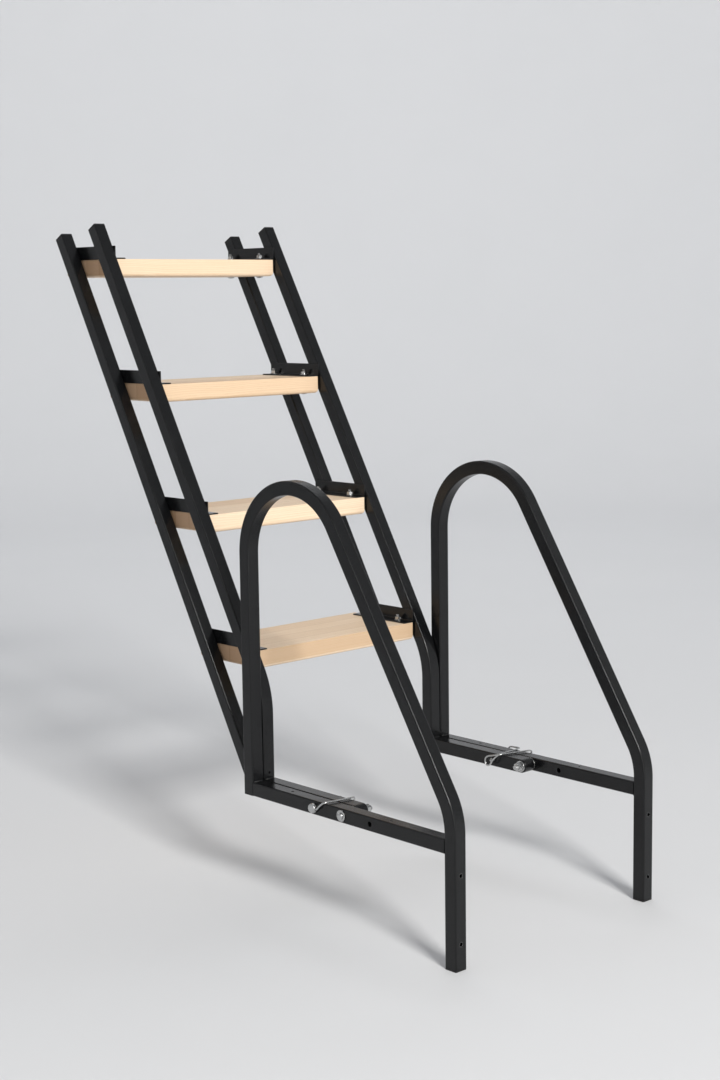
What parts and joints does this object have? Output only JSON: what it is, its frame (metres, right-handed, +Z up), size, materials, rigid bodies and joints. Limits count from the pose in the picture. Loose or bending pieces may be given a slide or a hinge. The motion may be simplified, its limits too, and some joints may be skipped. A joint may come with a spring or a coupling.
{
  "type": "flip-up dock ladder",
  "caption": "Flip-up dock ladder: wooden treads between black square-tube stringers that pivot over the edge between two tall looped handrail frames, folded up.",
  "frame": {"origin": "centre of the bounding box, at the height of the two leg ends", "axes": "+X from the left handrail frame to the right one, +Y back from the water over the deck, +Z up; the ladder is stored folded up, leaning back over the deck"},
  "size_m": [0.6207, 1.3334, 1.4543],
  "materials": {
    "frame_coat": "satin black powder coat over welded square tube",
    "hardware": "zinc-plated bolts, nuts, washers, pins and wire",
    "tread": "pale laminated hardwood, sanded, thin clear coat",
    "end_plug": "moulded black plastic tube end plug"
  },
  "bodies": {
    "handrails": {"left_handrail_tube": "frame_coat", "left_base_rail": "frame_coat", "left_leg_plug": "end_plug", "left_pivot_washer": "hardware", "left_pivot_spacer": "hardware", "left_nut_washer": "hardware", "left_pivot_nut": "hardware", "left_pivot_bolt": "hardware", "right_handrail_tube": "frame_coat", "right_base_rail": "frame_coat", "right_leg_plug": "end_plug", "right_pivot_washer": "hardware", "right_pivot_spacer": "hardware", "right_nut_washer": "hardware", "right_pivot_nut": "hardware", "right_pivot_bolt": "hardware"},
    "ladder": {"left_ladder_foot": "frame_coat", "left_front_stringer": "frame_coat", "left_front_stringer_plug": "end_plug", "left_rear_stringer": "frame_coat", "left_rear_stringer_plug": "end_plug", "right_ladder_foot": "frame_coat", "right_front_stringer": "frame_coat", "right_front_stringer_plug": "end_plug", "right_rear_stringer": "frame_coat", "right_rear_stringer_plug": "end_plug", "tread_1": "tread", "left_tread_bracket_1": "frame_coat", "left_tread_bolt_1_front": "hardware", "left_tread_bolt_1_rear": "hardware", "right_tread_bracket_1": "frame_coat", "right_tread_bolt_1_front": "hardware", "right_tread_bolt_1_rear": "hardware", "tread_2": "tread", "left_tread_bracket_2": "frame_coat", "left_tread_bolt_2_front": "hardware", "left_tread_bolt_2_rear": "hardware", "right_tread_bracket_2": "frame_coat", "right_tread_bolt_2_front": "hardware", "right_tread_bolt_2_rear": "hardware", "tread_3": "tread", "left_tread_bracket_3": "frame_coat", "left_tread_bolt_3_front": "hardware", "left_tread_bolt_3_rear": "hardware", "right_tread_bracket_3": "frame_coat", "right_tread_bolt_3_front": "hardware", "right_tread_bolt_3_rear": "hardware", "tread_4": "tread", "left_tread_bracket_4": "frame_coat", "left_tread_bolt_4_front": "hardware", "left_tread_bolt_4_rear": "hardware", "right_tread_bracket_4": "frame_coat", "right_tread_bolt_4_front": "hardware", "right_tread_bolt_4_rear": "hardware"},
    "left_pin": {"left_lock_pin": "hardware"},
    "right_pin": {"right_lock_pin": "hardware"},
    "left_bail": {"left_pin_bail": "hardware"},
    "right_bail": {"right_pin_bail": "hardware"}
  },
  "joints": [
    {"name": "ladder_flip", "type": "hinge", "parent": "handrails", "child": "ladder", "pos_m": [0, -0.34668, 0.243], "axis": [1, 0, 0], "range_deg": [0, 180], "deforming": ["left_lock_pin", "left_pin_bail", "right_lock_pin", "right_pin_bail"]},
    {"name": "left_pin_slide", "type": "slide", "parent": "ladder", "child": "left_pin", "axis": [-1, 0, 0], "range_m": [0, 0.075]},
    {"name": "left_bail_swing", "type": "hinge", "parent": "left_pin", "child": "left_bail", "pos_m": [-0.3056, -0.26368, 0.243], "axis": [0, -1, 0], "range_deg": [0, 110]},
    {"name": "right_pin_slide", "type": "slide", "parent": "ladder", "child": "right_pin", "axis": [1, 0, 0], "range_m": [0, 0.075]},
    {"name": "right_bail_swing", "type": "hinge", "parent": "right_pin", "child": "right_bail", "pos_m": [0.3056, -0.26368, 0.243], "axis": [0, 1, 0], "range_deg": [0, 110]}
  ],
  "couplings": [
    {"joint": "left_bail_swing", "follows": "left_pin_slide", "rad_per_m": 25.573},
    {"joint": "right_bail_swing", "follows": "right_pin_slide", "rad_per_m": 25.573}
  ]
}
